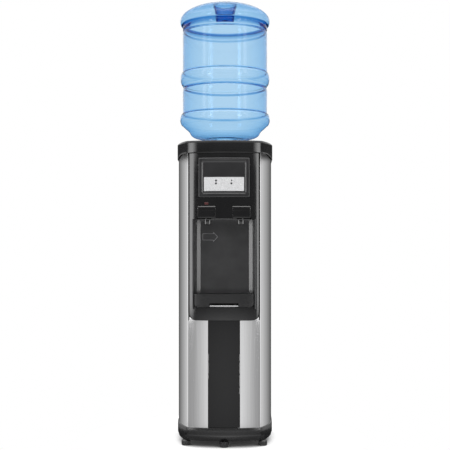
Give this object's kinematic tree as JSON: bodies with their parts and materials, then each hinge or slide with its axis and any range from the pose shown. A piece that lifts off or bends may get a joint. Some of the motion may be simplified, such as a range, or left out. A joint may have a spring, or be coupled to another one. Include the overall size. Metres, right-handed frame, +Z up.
{
  "type": "floor-standing water dispenser",
  "caption": "Floor-standing hot and cold water dispenser with an inverted bottle, push paddles, dispensing alcove and removable drip tray, in stainless steel and black.",
  "frame": {"origin": "on the floor, under the middle of the whole object's bounding box", "axes": "+Z up, the front with the alcove faces -Y, +X to the right seen from the front"},
  "size_m": [0.283, 0.318, 1.2992],
  "materials": {
    "gloss_black_plastic": "smooth injection-moulded ABS, semi-gloss",
    "matt_black_plastic": "finely textured ABS",
    "badge_grey": "raised moulded outline",
    "stainless_steel": "brushed upright, satin",
    "tank_steel": "drawn stainless",
    "galvanised_steel": "galvanised sheet",
    "rear_panel_paint": "powder-coated sheet",
    "zinc_screws": "zinc plated",
    "foot_rubber": "moulded rubber",
    "foot_plastic": "ribbed nylon",
    "silicone": "translucent silicone",
    "white_plastic": "food-grade polypropylene",
    "silver_label": "fine-grained silver film",
    "indicator_lens": "smoked lens",
    "circuit_board": "solder-masked board",
    "copper_tube": "drawn copper",
    "jacket_foam": "expanded polystyrene",
    "mica_heater": "mica band in a metal sheath",
    "compressor_paint": "stoved black enamel",
    "condenser_paint": "black lacquer",
    "bottle_blue": "clear blue-tinted polycarbonate",
    "bottle_cap_blue": "moulded polyethylene",
    "grip_silver": "satin silver trim",
    "red_plastic": "moulded red",
    "green_plastic": "moulded green"
  },
  "bodies": {
    "root": {"top_cap": "gloss_black_plastic", "front_fascia": "gloss_black_plastic", "lower_strip": "gloss_black_plastic", "control_bezel": "gloss_black_plastic", "hot_tap_body": "gloss_black_plastic", "cold_tap_body": "gloss_black_plastic", "base_plinth": "matt_black_plastic", "alcove_liner": "matt_black_plastic", "bottle_seat": "matt_black_plastic", "switch_plate": "matt_black_plastic", "power_inlet": "matt_black_plastic", "start_relay": "matt_black_plastic", "thermostats": "matt_black_plastic", "arrow_badge": "badge_grey", "side_panel_left": "stainless_steel", "side_panel_right": "stainless_steel", "cold_tank": "tank_steel", "hot_tank": "tank_steel", "base_pan": "galvanised_steel", "tank_shelf": "galvanised_steel", "rear_panel": "rear_panel_paint", "rear_screws": "zinc_screws", "compressor_bolts": "zinc_screws", "paddle_pins": "zinc_screws", "tap_springs": "zinc_screws", "corner_feet": "foot_rubber", "compressor_grommets": "foot_rubber", "seat_gasket": "silicone", "cold_hose": "silicone", "hot_hoses": "silicone", "drain_pipe": "silicone", "seat_probe": "white_plastic", "tank_baffle": "white_plastic", "control_label": "silver_label", "indicator_leds": "indicator_lens", "control_board": "circuit_board", "evaporator_coil": "copper_tube", "filter_drier": "copper_tube", "tank_insulation": "jacket_foam", "hot_tank_cover": "jacket_foam", "band_heater": "mica_heater", "compressor": "compressor_paint", "condenser_tube": "condenser_paint", "condenser_wires": "condenser_paint", "condenser_straps": "condenser_paint"},
    "bottle": {"bottle": "bottle_blue", "bottle_base": "bottle_blue", "bottle_cap": "bottle_cap_blue"},
    "tray": {"drip_tray": "matt_black_plastic", "tray_grip": "grip_silver"},
    "grille": {"drip_grille": "gloss_black_plastic"},
    "hot_lever": {"hot_paddle": "gloss_black_plastic"},
    "cold_lever": {"cold_paddle": "gloss_black_plastic"},
    "hot_valve": {"hot_stem": "white_plastic"},
    "cold_valve": {"cold_stem": "white_plastic"},
    "child_lock": {"child_lock_button": "red_plastic"},
    "hot_rocker": {"hot_switch": "red_plastic"},
    "cold_rocker": {"cold_switch": "green_plastic"},
    "drain": {"drain_cap": "matt_black_plastic"},
    "front_foot": {"levelling_foot": "foot_plastic"}
  },
  "joints": [
    {"name": "bottle_lift", "type": "slide", "parent": "root", "child": "bottle", "axis": [0, 0, 1], "range_m": [0, 0.3]},
    {"name": "tray_slide", "type": "slide", "parent": "root", "child": "tray", "axis": [0, -1, 0], "range_m": [0, 0.12]},
    {"name": "grille_lift", "type": "slide", "parent": "tray", "child": "grille", "axis": [0, 0, 1], "range_m": [0, 0.1]},
    {"name": "hot_lever_hinge", "type": "hinge", "parent": "root", "child": "hot_lever", "pos_m": [-0.05, -0.139, 0.684], "axis": [1, 0, 0], "range_deg": [0, 12], "stiffness_Nm_per_rad": 0.5},
    {"name": "cold_lever_hinge", "type": "hinge", "parent": "root", "child": "cold_lever", "pos_m": [0.05, -0.139, 0.684], "axis": [1, 0, 0], "range_deg": [0, 12], "stiffness_Nm_per_rad": 0.5},
    {"name": "hot_valve_slide", "type": "slide", "parent": "root", "child": "hot_valve", "axis": [0, 1, 0], "range_m": [0, 0.0034], "deforming": ["tap_springs"]},
    {"name": "cold_valve_slide", "type": "slide", "parent": "root", "child": "cold_valve", "axis": [0, 1, 0], "range_m": [0, 0.0034], "deforming": ["tap_springs"]},
    {"name": "child_lock_press", "type": "slide", "parent": "root", "child": "child_lock", "axis": [0, 1, 0], "range_m": [0, 0.003], "stiffness_N_per_m": 300},
    {"name": "hot_rocker_hinge", "type": "hinge", "parent": "root", "child": "hot_rocker", "pos_m": [0.085, 0.134, 0.749], "axis": [1, 0, 0], "range_deg": [0, 14]},
    {"name": "cold_rocker_hinge", "type": "hinge", "parent": "root", "child": "cold_rocker", "pos_m": [0.085, 0.134, 0.721], "axis": [1, 0, 0], "range_deg": [0, 14]},
    {"name": "drain_cap_off", "type": "slide", "parent": "root", "child": "drain", "axis": [0, 1, 0], "range_m": [0, 0.03]},
    {"name": "front_foot_turn", "type": "hinge", "parent": "root", "child": "front_foot", "pos_m": [0, -0.138, 0.008], "axis": [0, 0, 1], "continuous": true}
  ],
  "couplings": [
    {"joint": "hot_valve_slide", "follows": "hot_lever_hinge", "m_per_rad": 0.016},
    {"joint": "cold_valve_slide", "follows": "cold_lever_hinge", "m_per_rad": 0.016}
  ]
}
